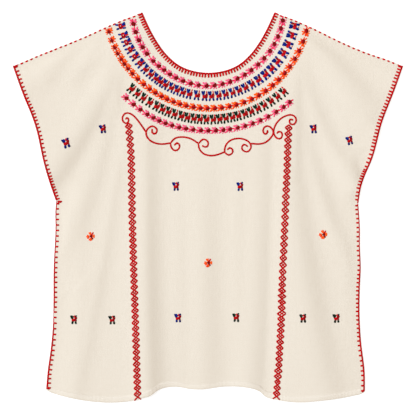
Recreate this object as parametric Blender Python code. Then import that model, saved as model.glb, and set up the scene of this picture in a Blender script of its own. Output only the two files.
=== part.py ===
"""Huipil blouse laid out flat, front up: three joined webs over three, neck towards +Y.

Each web is a thin cloth wall. The back webs lie flat on the ground, and the front webs lie on
them, puffed up a little and creased by soft folds. Two randas, the stitched strips of diamonds
that join the webs, lie along the front joins. Metres, +Z up.
"""

from collections import namedtuple

import bmesh
import bpy
import numpy as np
from mathutils import Vector
from mathutils.bvhtree import BVHTree

# ---------------------------------------------------------------- driving sizes
CLOTH = 0.0012  # thickness of one web
SEAM_GAP = 0.0003  # air between pieces that are sewn together
BACK_INSET = 0.0015  # the back's open edges stop short of the front's
HEM_DEPTH = 0.009  # height of the turned-up hem
HEM_STEP = 0.0005  # how far the hem's second layer stands out

PUFF = 0.0034  # usual height of the hollow under the front
COLLAR_PUFF = 0.0010  # the same at the neck's edge, where close stitching stiffens the cloth
COLLAR_REACH = 0.060  # the hollow is back to its usual height this far from the neck
SEAM_REACH = 0.026  # and this far from a closed seam, where front and back meet

RANDA_THICKNESS = 0.0010
RANDA_LIFT = 0.0004  # air between a randa and the cloth it lies on
RANDA_WIDTH = 0.0124
RANDA_KNOT = 0.0034  # width where two diamonds meet
RANDA_DIAMONDS = 44
RANDA_CLOSING = 0.86  # pitch of the last diamond over that of the first
RANDA_TOP = 0.136  # where the strips start; they end at the hem
RANDA_END = 0.0012  # and stop this far inside its edge

SIDE_COLUMNS, CENTRE_COLUMNS = 20, 40
YOKE_COLUMNS = 4  # of the centre web's columns, those that meet the shoulder and not the neck
ROWS, UNDERARM_ROW = 36, 15
CURVE_STEPS = 10  # straight pieces between two rows of an outline table

# ---------------------------------------------------------------- outline
Place = namedtuple("Place", "x y")

NECK_CENTRE, NECK_TOP = 0.0006, 0.3196
NeckRow = namedtuple("NeckRow", "half_width drop")
NECK = [
    NeckRow(0.1082, 0.0000),
    NeckRow(0.1000, 0.0190),
    NeckRow(0.0858, 0.0445),
    NeckRow(0.0655, 0.0710),
    NeckRow(0.0360, 0.0905),
    NeckRow(0.0000, 0.0985),
]
# From the neck's corner out to the cuff.
LEFT_SHOULDER = [
    Place(-0.1395, 0.3085),
    Place(-0.1887, 0.2877),
    Place(-0.2494, 0.2612),
    Place(-0.3195, 0.2310),
]
RIGHT_SHOULDER = [
    Place(0.1411, 0.3085),
    Place(0.1854, 0.2875),
    Place(0.2265, 0.2678),
    Place(0.2954, 0.2412),
    Place(0.3195, 0.2312),
]
# From the shoulder's end down to the underarm.
LEFT_CUFF = [
    Place(-0.3195, 0.2310),
    Place(-0.3080, 0.1969),
    Place(-0.2832, 0.1337),
    Place(-0.2752, 0.0944),
    Place(-0.2593, 0.0418),
    Place(-0.2482, 0.0115),
]
RIGHT_CUFF = [
    Place(0.3195, 0.2312),
    Place(0.3080, 0.2010),
    Place(0.2831, 0.1337),
    Place(0.2750, 0.1026),
    Place(0.2527, 0.0451),
    Place(0.2460, 0.0156),
]
# From the underarm down to the hem's corner.
LEFT_SIDE = [
    Place(-0.2482, 0.0115),
    Place(-0.2490, -0.0287),
    Place(-0.2530, -0.1764),
    Place(-0.2590, -0.2371),
    Place(-0.2655, -0.2990),
]
RIGHT_SIDE = [
    Place(0.2460, 0.0156),
    Place(0.2492, -0.1026),
    Place(0.2480, -0.1682),
    Place(0.2508, -0.2256),
    Place(0.2560, -0.2699),
    Place(0.2568, -0.3013),
]
# The joins between webs, from shoulder to hem.
LEFT_JOIN = [
    Place(-0.1395, 0.3085),
    Place(-0.1296, 0.1360),
    Place(-0.1246, 0.0123),
    Place(-0.1209, -0.1354),
    Place(-0.1155, -0.3152),
]
RIGHT_JOIN = [
    Place(0.1411, 0.3085),
    Place(0.1331, 0.1360),
    Place(0.1257, -0.0139),
    Place(0.1208, -0.1518),
    Place(0.1119, -0.3140),
]
# The hem dips under each side and rises between the two folds beside the randas.
LEFT_HEM = [
    Place(-0.2655, -0.2990),
    Place(-0.2199, -0.3121),
    Place(-0.1641, -0.3196),
    Place(-0.1155, -0.3152),
]
CENTRE_HEM = [
    Place(-0.1155, -0.3152),
    Place(-0.0930, -0.3065),
    Place(-0.0722, -0.2952),
    Place(-0.0560, -0.2928),
    Place(-0.0131, -0.2967),
    Place(0.0361, -0.2918),
    Place(0.0690, -0.2947),
    Place(0.0870, -0.3030),
    Place(0.0980, -0.3104),
    Place(0.1119, -0.3140),
]
RIGHT_HEM = [
    Place(0.1119, -0.3140),
    Place(0.1543, -0.3190),
    Place(0.2035, -0.3139),
    Place(0.2568, -0.3013),
]

# ---------------------------------------------------------------- folds
# A fold runs from start through middle to end. rise is its height at those three places, below 0
# for a trough. left and right are its half-widths on either side of the way it runs, and spread is
# how many times wider it is at its end.
Fold = namedtuple("Fold", "name start middle end rise left right spread")
FOLDS = [
    Fold("left_randa_ridge", (-0.122, 0.110), (-0.117, -0.095), (-0.110, -0.318), (0.6, 3.6, 5.2), 20, 24, 1.1),
    Fold("right_randa_ridge", (0.128, 0.110), (0.119, -0.095), (0.108, -0.318), (0.6, 3.4, 5.0), 24, 20, 1.1),
    Fold("centre_left_trough", (-0.096, 0.122), (-0.090, -0.089), (-0.086, -0.306), (-1.0, -4.4, -6.2), 14, 7, 1.3),
    Fold("centre_right_trough", (0.098, 0.122), (0.090, -0.089), (0.084, -0.303), (-0.8, -3.8, -5.6), 7, 14, 1.3),
    Fold("centre_trough", (0.007, 0.070), (0.005, -0.111), (0.011, -0.292), (0.0, -1.7, -2.2), 12, 12, 1.2),
    Fold("left_armhole_trough", (-0.166, 0.239), (-0.190, 0.130), (-0.259, 0.045), (-1.2, -2.9, -3.4), 8, 10, 1.6),
    Fold("left_breast_trough", (-0.156, 0.180), (-0.182, 0.078), (-0.218, -0.030), (-0.8, -2.2, -0.6), 8, 9, 1.5),
    Fold("left_skirt_trough", (-0.148, 0.094), (-0.171, -0.099), (-0.206, -0.316), (-0.8, -2.6, -3.2), 9, 10, 1.6),
    Fold("left_sleeve_trough", (-0.217, 0.263), (-0.240, 0.234), (-0.268, 0.193), (-0.5, -1.7, -0.8), 11, 11, 1.3),
    Fold("left_collar_trough", (-0.148, 0.216), (-0.146, 0.181), (-0.148, 0.144), (-0.6, -1.3, -0.4), 6, 6, 1.0),
    Fold("right_sleeve_trough", (0.176, 0.275), (0.223, 0.231), (0.274, 0.180), (-0.6, -2.1, -1.2), 10, 10, 1.6),
    Fold("right_armhole_trough", (0.158, 0.245), (0.194, 0.134), (0.256, 0.055), (-1.0, -2.7, -3.6), 9, 9, 2.0),
    Fold("right_skirt_trough", (0.149, 0.206), (0.158, -0.012), (0.207, -0.316), (-1.0, -2.8, -3.8), 8, 9, 2.2),
    Fold("right_waist_trough", (0.166, 0.127), (0.197, 0.029), (0.236, -0.080), (-0.8, -2.0, -1.0), 9, 9, 1.5),
    Fold("left_cuff_mouth", (-0.305, 0.190), (-0.282, 0.130), (-0.266, 0.070), (2.0, 4.6, 1.5), 26, 26, 0.9),
    Fold("right_cuff_mouth", (0.305, 0.190), (0.282, 0.130), (0.266, 0.070), (2.0, 4.6, 1.5), 26, 26, 0.9),
]
FOLD_STEPS = 20
MM = 0.001  # rise, left and right are in millimetres


# ---------------------------------------------------------------- curves
class Line:
    """A smooth line through the rows of an outline table, read by its share of length."""

    def __init__(self, rows):
        known = np.array(rows, float)
        ends = np.vstack([2 * known[0] - known[1], known, 2 * known[-1] - known[-2]])
        made = [known[0]]
        for a, b, c, d in zip(ends, ends[1:], ends[2:], ends[3:]):
            # Tangents scaled by chord length keep unevenly spaced rows from overshooting.
            ab, bc, cd = (np.linalg.norm(q - p) for p, q in ((a, b), (b, c), (c, d)))
            out = (c - b) * ab / (ab + bc) + (b - a) * bc * bc / (ab * (ab + bc))
            into = (c - b) * cd / (bc + cd) + (d - c) * bc * bc / (cd * (bc + cd))
            for t in np.linspace(0, 1, CURVE_STEPS + 1)[1:]:
                made.append(
                    b * (2 * t**3 - 3 * t**2 + 1)
                    + out * (t**3 - 2 * t**2 + t)
                    + c * (3 * t**2 - 2 * t**3)
                    + into * (t**3 - t**2)
                )
        self.points = np.array(made)
        steps = np.linalg.norm(np.diff(self.points, axis=0), axis=1)
        self.shares = np.concatenate([[0], np.cumsum(steps)]) / steps.sum()
        self.length = float(steps.sum())

    def at(self, share):
        return np.array([np.interp(share, self.shares, self.points[:, k]) for k in (0, 1)])


def in_turn(*lines, turns=None):
    """Several lines as one. turns are the shares at which one line gives way to the next."""
    lengths = np.array([line.length for line in lines])
    stops = np.concatenate([[0], np.cumsum(lengths)]) / lengths.sum() if turns is None else [0, *turns, 1]

    def at(share):
        k = min(int(np.searchsorted(stops, share, side="right")) - 1, len(lines) - 1)
        return lines[k].at((share - stops[k]) / (stops[k + 1] - stops[k]))

    return at


def backwards(rows):
    return list(reversed(rows))


def distance_to(points, line):
    """For each point: its distance to a line of points, which side it is on, and how far along."""
    starts, ways = line[:-1], np.diff(line, axis=0)
    best, side, along = (np.full(len(points), fill) for fill in (np.inf, 0.0, 0.0))
    for k, (start, way) in enumerate(zip(starts, ways)):
        off = points - start
        t = np.clip(off @ way / (way @ way), 0, 1)
        gap = np.linalg.norm(off - t[:, None] * way, axis=1)
        nearer = gap < best
        best[nearer] = gap[nearer]
        side[nearer] = (way[0] * off[:, 1] - way[1] * off[:, 0])[nearer]
        along[nearer] = ((k + t) / len(ways))[nearer]
    return best, side, along


def ease(x):
    x = np.clip(x, 0, 1)
    return x * x * (3 - 2 * x)


def neck_rows():
    left = [Place(NECK_CENTRE - row.half_width, NECK_TOP - row.drop) for row in NECK]
    right = [Place(NECK_CENTRE + row.half_width, NECK_TOP - row.drop) for row in backwards(NECK)]
    return left + right[1:]


NECK_LINE = Line(neck_rows())
LEFT_YOKE = Line([LEFT_SHOULDER[0], neck_rows()[0]])  # the shoulder's part on the centre web
RIGHT_YOKE = Line([neck_rows()[-1], RIGHT_SHOULDER[0]])
CLOSED_SEAMS = [Line(rows) for rows in (LEFT_SHOULDER, RIGHT_SHOULDER, LEFT_SIDE, RIGHT_SIDE)]
CLOSED_SEAMS += [LEFT_YOKE, RIGHT_YOKE]


# ---------------------------------------------------------------- height of the front
def fold_height(points, fold):
    """How far one fold lifts or sinks the front at each point."""
    start, middle, end = (np.array(place) for place in (fold.start, fold.middle, fold.end))
    bend = 2 * middle - (start + end) / 2
    t = np.linspace(0, 1, FOLD_STEPS + 1)[:, None]
    line = (1 - t) ** 2 * start + 2 * t * (1 - t) * bend + t**2 * end
    gap, side, along = distance_to(points, line)
    first, most, last = fold.rise
    rise = first * (1 - along) * (1 - 2 * along) + 4 * most * along * (1 - along) + last * along * (2 * along - 1)
    width = np.where(side > 0, fold.left, fold.right) * (1 + (fold.spread - 1) * along)
    return rise * MM * np.exp(-((gap / (width * MM)) ** 2))


def hollow(points):
    """Height of the hollow between the front and the back at each point."""
    from_neck = distance_to(points, NECK_LINE.points)[0]
    height = COLLAR_PUFF + (PUFF - COLLAR_PUFF) * ease(from_neck / COLLAR_REACH)
    for fold in FOLDS:
        height += fold_height(points, fold)
    for seam in CLOSED_SEAMS:
        height = height * ease(distance_to(points, seam.points)[0] / SEAM_REACH)
    return np.maximum(height, 0)


# ---------------------------------------------------------------- webs
def patch(left, right, top, bottom, columns, rows):
    """A grid of points between four edges, each read by its share. rows is a list of shares."""
    corners = {(u, v): (top if v == 0 else bottom)(u) for u in (0, 1) for v in (0, 1)}
    grid = []
    for v in rows:
        for u in np.linspace(0, 1, columns + 1):
            across = (1 - v) * top(u) + v * bottom(u)
            down = (1 - u) * left(v) + u * right(v)
            twice = (1 - v) * ((1 - u) * corners[0, 0] + u * corners[1, 0])
            twice = twice + v * ((1 - u) * corners[0, 1] + u * corners[1, 1])
            grid.append(across + down - twice)
    return np.array(grid)


def row_shares(length):
    """Even rows, then two close ones for the step of the hem's second layer, and its edge."""
    hem = 1 - HEM_DEPTH / length
    step = hem - HEM_STEP / length
    return [*(np.arange(ROWS) * step / ROWS), step, hem, 1]


def material(name, colour, roughness):
    made = bpy.data.materials.new(name)
    made.use_nodes = True
    shader = made.node_tree.nodes["Principled BSDF"]
    shader.inputs["Base Color"].default_value = (*colour, 1)
    shader.inputs["Roughness"].default_value = roughness
    shader.inputs["Metallic"].default_value = 0
    return made


def add_object(name, shape, finish):
    bmesh.ops.recalc_face_normals(shape, faces=shape.faces)
    mesh = bpy.data.meshes.new(name)
    shape.to_mesh(mesh)
    shape.free()
    mesh.shade_smooth()
    mesh.set_sharp_from_angle(angle=0.9)
    mesh.materials.append(finish)
    made = bpy.data.objects.new(name, mesh)
    bpy.context.scene.collection.objects.link(made)
    return made


def front_web(name, edges, columns, shares, finish):
    """A creased wall of cloth: a grid of points at their heights, with its thickness downwards."""
    plan = patch(*edges, columns, shares)
    height = CLOTH + SEAM_GAP + hollow(plan) + CLOTH
    second_layer = [HEM_STEP if share > shares[-3] else 0 for share in shares]
    height = height + np.repeat(second_layer, columns + 1)
    shape = bmesh.new()
    made = [shape.verts.new((x, y, z)) for (x, y), z in zip(plan, height)]
    wide = columns + 1
    for row in range(len(shares) - 1):
        for column in range(columns):
            a = row * wide + column
            shape.faces.new([made[a], made[a + wide], made[a + wide + 1], made[a + 1]])
    grown = bmesh.ops.extrude_face_region(shape, geom=list(shape.faces))
    under = [v for v in grown["geom"] if isinstance(v, bmesh.types.BMVert)]
    bottom = hollow(np.array([v.co.xy for v in under]))
    for vertex, z in zip(under, bottom):
        vertex.co.z = CLOTH + SEAM_GAP + z
    return add_object(name, shape, finish)


def back_web(name, lines, finish):
    """A flat slab inside a loop of lines, each with how far it is drawn in and its piece count."""
    outline = []
    for line, inset, count in lines:
        points = np.array([line.at(share) for share in np.linspace(0, 1, count + 1)])
        way = np.gradient(points, axis=0)
        way /= np.linalg.norm(way, axis=1)[:, None]
        outline.append(points + inset * np.column_stack([way[:, 1], -way[:, 0]]))
    loop = np.vstack([meet(outline[k - 1], outline[k]) for k in range(len(outline))])
    shape = bmesh.new()
    top = shape.faces.new([shape.verts.new((x, y, CLOTH)) for x, y in loop])
    bmesh.ops.triangulate(shape, faces=[top])
    grown = bmesh.ops.extrude_face_region(shape, geom=list(shape.faces))
    for vertex in grown["geom"]:
        if isinstance(vertex, bmesh.types.BMVert):
            vertex.co.z = 0
    return add_object(name, shape, finish)


def meet(before, line):
    """The line's points without its last, its first moved to where the two lines cross."""
    a, b, c, d = before[-2], before[-1], line[0], line[1]
    into, out = b - a, d - c
    turn = into[0] * out[1] - into[1] * out[0]
    if abs(turn) > 0.05 * np.linalg.norm(into) * np.linalg.norm(out):
        c = a + into * ((c - a)[0] * out[1] - (c - a)[1] * out[0]) / turn
    return np.vstack([[c], line[1:-1]])


def shifted(at, offset):
    return lambda share: at(share) + np.array([offset, 0])


def reversed_line(rows):
    return Line(backwards(rows))


# ---------------------------------------------------------------- randas
def resting_height(surface, x, y):
    """Height of the cloth under a point, read on both sides of the join."""
    found = []
    for near in (-0.0006, 0, 0.0006):
        hit = surface.ray_cast(Vector((x + near, y, 1)), Vector((0, 0, -1)))[0]
        if hit is not None:
            found.append(hit.z)
    return max(found)


def randa(name, join, surface, finish):
    """A chain of flat diamonds down one join, made from the cloth's own heights, moved out."""
    pitch = np.linspace(1, RANDA_CLOSING, RANDA_DIAMONDS).repeat(2)
    places = np.concatenate([[0], np.cumsum(pitch)]) / pitch.sum()
    first = float(np.interp(-RANDA_TOP, -join.points[:, 1], join.shares))
    last = 1 - RANDA_END / join.length
    shape = bmesh.new()
    rows = []
    for k, place in enumerate(places):
        x, y = join.at(first + (last - first) * place)
        half = (RANDA_WIDTH if k % 2 else RANDA_KNOT) / 2
        spots = [(x - half, y), (x, y), (x + half, y)]
        rows.append([shape.verts.new((*spot, resting_height(surface, *spot))) for spot in spots])
    for upper, lower in zip(rows, rows[1:]):
        for k in (0, 1):
            shape.faces.new([upper[k], lower[k], lower[k + 1], upper[k + 1]])
    grown = bmesh.ops.extrude_face_region(shape, geom=list(shape.faces))
    raised = {v for v in grown["geom"] if isinstance(v, bmesh.types.BMVert)}
    for vertex in shape.verts:
        vertex.co.z += RANDA_LIFT + (RANDA_THICKNESS if vertex in raised else 0)
    return add_object(name, shape, finish)


# ---------------------------------------------------------------- the garment
def main():
    for old in list(bpy.data.objects):
        bpy.data.objects.remove(old)

    cotton = material("unbleached_cotton", (0.87, 0.80, 0.70), 0.9)
    thread = material("red_thread", (0.45, 0.005, 0.01), 0.6)
    half = SEAM_GAP / 2
    left_join, right_join = Line(LEFT_JOIN), Line(RIGHT_JOIN)
    shares = row_shares(left_join.length)
    turn = [shares[UNDERARM_ROW]]
    yoke = YOKE_COLUMNS / CENTRE_COLUMNS

    fronts = [
        front_web(
            "front_left_web",
            (
                in_turn(Line(LEFT_CUFF), Line(LEFT_SIDE), turns=turn),
                shifted(left_join.at, -half),
                reversed_line(LEFT_SHOULDER).at,
                Line(LEFT_HEM).at,
            ),
            SIDE_COLUMNS,
            shares,
            cotton,
        ),
        front_web(
            "front_centre_web",
            (
                shifted(left_join.at, half),
                shifted(right_join.at, -half),
                in_turn(LEFT_YOKE, NECK_LINE, RIGHT_YOKE, turns=[yoke, 1 - yoke]),
                Line(CENTRE_HEM).at,
            ),
            CENTRE_COLUMNS,
            shares,
            cotton,
        ),
        front_web(
            "front_right_web",
            (
                shifted(right_join.at, half),
                in_turn(Line(RIGHT_CUFF), Line(RIGHT_SIDE), turns=turn),
                Line(RIGHT_SHOULDER).at,
                Line(RIGHT_HEM).at,
            ),
            SIDE_COLUMNS,
            shares,
            cotton,
        ),
    ]

    # Each loop runs anticlockwise seen from below, so its inside is on the line's right.
    back_web(
        "back_left_web",
        [
            (reversed_line(LEFT_SHOULDER), 0, 6),
            (left_join, half, 8),
            (reversed_line(LEFT_HEM), BACK_INSET, 8),
            (reversed_line(LEFT_SIDE), 0, 8),
            (reversed_line(LEFT_CUFF), BACK_INSET, 10),
        ],
        cotton,
    )
    back_web(
        "back_centre_web",
        [
            (LEFT_YOKE, 0, 1),
            (NECK_LINE, BACK_INSET, 28),
            (RIGHT_YOKE, 0, 1),
            (right_join, half, 8),
            (reversed_line(CENTRE_HEM), BACK_INSET, 24),
            (reversed_line(LEFT_JOIN), half, 8),
        ],
        cotton,
    )
    back_web(
        "back_right_web",
        [
            (Line(RIGHT_SHOULDER), 0, 6),
            (Line(RIGHT_CUFF), BACK_INSET, 10),
            (Line(RIGHT_SIDE), 0, 8),
            (reversed_line(RIGHT_HEM), BACK_INSET, 8),
            (reversed_line(RIGHT_JOIN), half, 8),
        ],
        cotton,
    )

    bpy.context.view_layer.update()
    joined = bmesh.new()
    for web in fronts:
        joined.from_mesh(web.data)
    surface = BVHTree.FromBMesh(joined)
    randa("left_randa", left_join, surface, thread)
    randa("right_randa", right_join, surface, thread)
    joined.free()


main()
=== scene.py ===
import math
from collections import namedtuple

import bmesh
import bpy
import numpy as np
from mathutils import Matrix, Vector
from mathutils.bvhtree import BVHTree


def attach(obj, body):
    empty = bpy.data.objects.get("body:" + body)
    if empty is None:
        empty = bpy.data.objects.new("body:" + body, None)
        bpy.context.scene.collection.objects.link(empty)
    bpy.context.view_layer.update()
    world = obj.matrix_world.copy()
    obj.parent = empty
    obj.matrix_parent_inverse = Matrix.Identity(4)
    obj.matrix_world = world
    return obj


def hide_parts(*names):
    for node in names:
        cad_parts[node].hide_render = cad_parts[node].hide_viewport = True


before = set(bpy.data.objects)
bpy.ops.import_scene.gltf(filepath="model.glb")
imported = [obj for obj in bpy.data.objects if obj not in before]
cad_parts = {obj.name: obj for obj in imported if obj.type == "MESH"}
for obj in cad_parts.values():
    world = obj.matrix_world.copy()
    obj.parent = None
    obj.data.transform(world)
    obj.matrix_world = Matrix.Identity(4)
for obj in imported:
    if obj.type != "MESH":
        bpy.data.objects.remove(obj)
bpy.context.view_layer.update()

# ---- Floor, light and camera
# A plain white floor under the blouse, lit from below as a light table is. A soft warm dome, one soft
# lamp from the upper left and a small one over the shoulders light the cloth, and a camera with a
# long lens looks straight down on it.
FLOOR_SIZE = 8.0
FLOOR_DROP = 0.0003  # the floor lies this far below the blouse, so that the two don't fight
FLOOR_FINISH = {
    "Base Color": (0.35, 0.35, 0.35, 1),
    "Roughness": 1,
    "Specular IOR Level": 0,
    "Emission Color": (1, 1, 1, 1),
    "Emission Strength": 0.8,
}
DOME, DOME_COLOUR = 0.50, (1.16, 1.0, 0.82, 1)
LAMP_STRENGTH, LAMP_COLOUR, LAMP_HEIGHT = 3.55, (0.88, 1.0, 1.12), 2
LAMP_SOFTNESS, LAMP_TILT, LAMP_TURN = 45, 45, 164  # degrees: its spread, from overhead, and about the upright
SHOULDER_LAMP, SHOULDER_LAMP_SIZE, SHOULDER_LAMP_PLACE = 1.9, 0.8, (0, 0.9, 1.2)
VIEW_WIDTH, VIEW_MIDDLE = 0.6827, -0.0008  # across the picture, and the Y that its middle shows
CAMERA_HEIGHT, CAMERA_REACH = 7.0, 50
SENSOR = 36.0  # millimetres

bpy.ops.object.select_all(action="DESELECT")
bpy.ops.mesh.primitive_plane_add(size=FLOOR_SIZE, location=(0, 0, -FLOOR_DROP))
floor = bpy.context.object
floor.name = "floor"
bpy.ops.object.transform_apply(location=True, rotation=True, scale=True)
white = bpy.data.materials.new("floor_white")
white.use_nodes = True
for socket, value in FLOOR_FINISH.items():
    white.node_tree.nodes["Principled BSDF"].inputs[socket].default_value = value
floor.data.materials.append(white)

dome = bpy.data.worlds.new("soft_dome")
dome.use_nodes = True
dome.node_tree.nodes["Background"].inputs["Color"].default_value = DOME_COLOUR
dome.node_tree.nodes["Background"].inputs["Strength"].default_value = DOME
bpy.context.scene.world = dome

bpy.ops.object.light_add(type="SUN", location=(0, 0, LAMP_HEIGHT))
lamp = bpy.context.object
lamp.name = "soft_lamp"
lamp.rotation_euler = (0, math.radians(LAMP_TILT), math.radians(LAMP_TURN))
lamp.data.energy = LAMP_STRENGTH
lamp.data.angle = math.radians(LAMP_SOFTNESS)
lamp.data.color = LAMP_COLOUR

bpy.ops.object.light_add(type="AREA", location=SHOULDER_LAMP_PLACE)
shoulder_lamp = bpy.context.object
shoulder_lamp.name = "shoulder_lamp"
shoulder_lamp.rotation_euler = (-math.atan2(SHOULDER_LAMP_PLACE[1], SHOULDER_LAMP_PLACE[2]), 0, 0)
shoulder_lamp.data.energy = SHOULDER_LAMP
shoulder_lamp.data.size = SHOULDER_LAMP_SIZE

bpy.ops.object.camera_add(location=(0, VIEW_MIDDLE, CAMERA_HEIGHT), rotation=(0, 0, 0))
camera = bpy.context.object
camera.data.sensor_width = SENSOR
camera.data.lens = SENSOR * CAMERA_HEIGHT / VIEW_WIDTH
camera.data.clip_end = CAMERA_REACH
bpy.context.scene.camera = camera
bpy.context.scene.view_settings.view_transform = "Standard"

# ---- Front webs
# Three lengths of hand-woven unbleached cotton, cut with a wide scooped neck and with the sleeves
# in one with the side lengths. They lie puffed up a little on the back, creased by soft folds.
MM = 0.001
CLOTH = 0.0007  # how thick the cotton is
BACK_TOP, LAYER_GAP = 0.0009, 0.0002  # the height of the back's upper face, and from there to the front
HEM_DEPTH, HEM_STEP, HEM_ROLL = 0.009, 0.0003, 0.0007  # the turned hem, its step up, and its round edge
PUFF, COLLAR_PUFF = 0.0030, 0.0010  # how far the front puffs up, and how far at the neck's edge
COLLAR_REACH, LEFT_REACH, RIGHT_REACH = 0.060, 0.048, 0.027  # how far in from each edge it puffs up fully
FOLD_REACH = 0.026  # how far in from the sides the folds come to their full height
SETTLE = 0.0006  # how softly the front comes down on the back
SEAM_HOLD = 0.002  # the stitches hold the cloth flat this near to a seam
SIDE_COLUMNS, CENTRE_COLUMNS, YOKE_COLUMNS = 108, 172, 18
ROWS, UNDERARM_ROW = 252, 105
CURVE_STEPS, FOLD_STEPS = 10, 20
WAY_STEP = 0.01  # a line's way is read this share of its length to each side

# Puckers are waves of one height and pitch. They sway along the seam and swell, each so many times,
# in radians, to the metre, and die away at reach.
Puckers = namedtuple("Puckers", "height pitch reach sway sways swells")
SIDE_PUCKERS = Puckers(0.00012, 0.0088, 0.011, 2.0, 31, 47)
HEM_PUCKERS = Puckers(0.00010, 0.0056, 0.004, 2.5, 90, 61)
SWELL = 0.4  # by this share of their height
SIDE_SLANT = 0.5  # a pucker at a side rises this far for each metre in from it


class Line:
    """A smooth line through the rows of an outline table, read by its share of length."""

    def __init__(self, rows):
        known = np.array(rows, float)
        ends = np.vstack([2 * known[0] - known[1], known, 2 * known[-1] - known[-2]])
        made = [known[0]]
        for a, b, c, d in zip(ends, ends[1:], ends[2:], ends[3:]):
            # Tangents scaled by chord length keep unevenly spaced rows from overshooting.
            ab, bc, cd = (np.linalg.norm(q - p) for p, q in ((a, b), (b, c), (c, d)))
            out = (c - b) * ab / (ab + bc) + (b - a) * bc * bc / (ab * (ab + bc))
            into = (c - b) * cd / (bc + cd) + (d - c) * bc * bc / (cd * (bc + cd))
            for t in np.linspace(0, 1, CURVE_STEPS + 1)[1:]:
                made.append(
                    b * (2 * t**3 - 3 * t**2 + 1)
                    + out * (t**3 - 2 * t**2 + t)
                    + c * (3 * t**2 - 2 * t**3)
                    + into * (t**3 - t**2)
                )
        self.points = np.array(made)
        steps = np.linalg.norm(np.diff(self.points, axis=0), axis=1)
        self.shares = np.concatenate([[0], np.cumsum(steps)]) / steps.sum()
        self.length = float(steps.sum())

    def at(self, share):
        return np.stack([np.interp(share, self.shares, self.points[:, k]) for k in (0, 1)], axis=-1)

    def way(self, share):
        ahead = self.at(np.minimum(share + WAY_STEP, 1)) - self.at(np.maximum(share - WAY_STEP, 0))
        return ahead / np.linalg.norm(ahead, axis=-1, keepdims=True)


def from_mm(*places):
    return [(x * MM, y * MM) for x, y in places]


# Outlines are places in millimetres. The neck is mirrored about its centre.
NECK_CENTRE, NECK_TOP = 0.6, 319.6
NECK = [  # half its width, and how far below its top
    (108.2, 0.0), (101.6, 15.0), (93.9, 31.0), (84.0, 48.2), (72.5, 64.5), (62.3, 75.4), (51.1, 84.6),
    (39.6, 90.8), (26.3, 95.3), (9.0, 98.3), (0.0, 98.7),
]
# The shoulders, from the neck's side out to the cuff.
LEFT_SHOULDER = from_mm((-139.5, 308.2), (-210.9, 276.8), (-299.5, 240.7), (-320.0, 231.5))
RIGHT_SHOULDER = from_mm(
    (141.1, 308.0), (171.5, 294.8), (212.5, 274.6), (232.2, 265.6), (261.7, 253.6), (304.4, 238.5),
    (319.8, 231.5),
)
# The cuffs, from the shoulder's end down to the underarm.
left_cuff = Line(from_mm(
    (-320.0, 231.5), (-300.7, 178.9), (-289.7, 152.6), (-283.4, 134.6), (-268.0, 68.9), (-254.2, 24.6),
    (-248.8, 10.0),
))
right_cuff = Line(from_mm(
    (319.8, 231.5), (305.1, 190.4), (286.5, 142.8), (268.2, 77.1), (256.1, 49.2), (251.2, 34.5),
    (246.4, 6.0),
))
# The sides, from the underarm down to the hem's corner.
left_side = Line(from_mm(
    (-248.8, 10.0), (-250.0, -2.0), (-250.0, -33.0), (-253.0, -100.0), (-253.4, -160.0), (-254.0, -189.0),
    (-258.3, -236.3), (-262.3, -264.2), (-265.5, -299.0),
))
right_side = Line(from_mm(
    (246.4, 6.0), (249.0, -34.5), (249.0, -60.7), (250.4, -101.7), (249.0, -129.6), (249.0, -192.0),
    (250.8, -218.3), (257.0, -272.4), (257.2, -302.0),
))
# The joins between webs, from shoulder to hem.
left_join = Line(from_mm(
    (-139.5, 308.2), (-130.0, 133.0), (-126.7, 93.5), (-125.2, 41.0), (-124.4, -11.5), (-121.8, -103.4),
    (-118.0, -221.5), (-115.2, -315.8),
))
right_join = Line(from_mm(
    (141.1, 308.0), (132.5, 136.0), (131.0, 106.7), (129.8, 67.3), (126.5, -11.5), (124.4, -64.0),
    (121.9, -116.5), (120.6, -169.0), (118.2, -221.5), (114.9, -274.0), (111.9, -315.5),
))
# The hem of each web, from left to right.
left_hem = Line(from_mm(
    (-265.5, -299.0), (-259.0, -303.0), (-248.6, -306.5), (-233.8, -310.5), (-192.8, -317.9),
    (-160.0, -319.9), (-138.7, -318.8), (-115.2, -315.8),
))
centre_hem = Line(from_mm(
    (-115.2, -315.8), (-109.1, -313.2), (-96.0, -309.6), (-79.6, -298.5), (-68.1, -295.2), (-51.7, -294.2),
    (-28.7, -297.7), (-13.9, -298.4), (27.1, -293.8), (58.3, -294.7), (79.6, -299.5), (84.5, -301.9),
    (94.4, -310.5), (105.8, -314.4), (111.9, -315.5),
))
right_hem = Line(from_mm(
    (111.9, -315.5), (128.8, -318.2), (145.2, -319.5), (184.6, -317.1), (235.5, -309.3), (253.5, -304.6),
    (257.2, -302.0),
))

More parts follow.
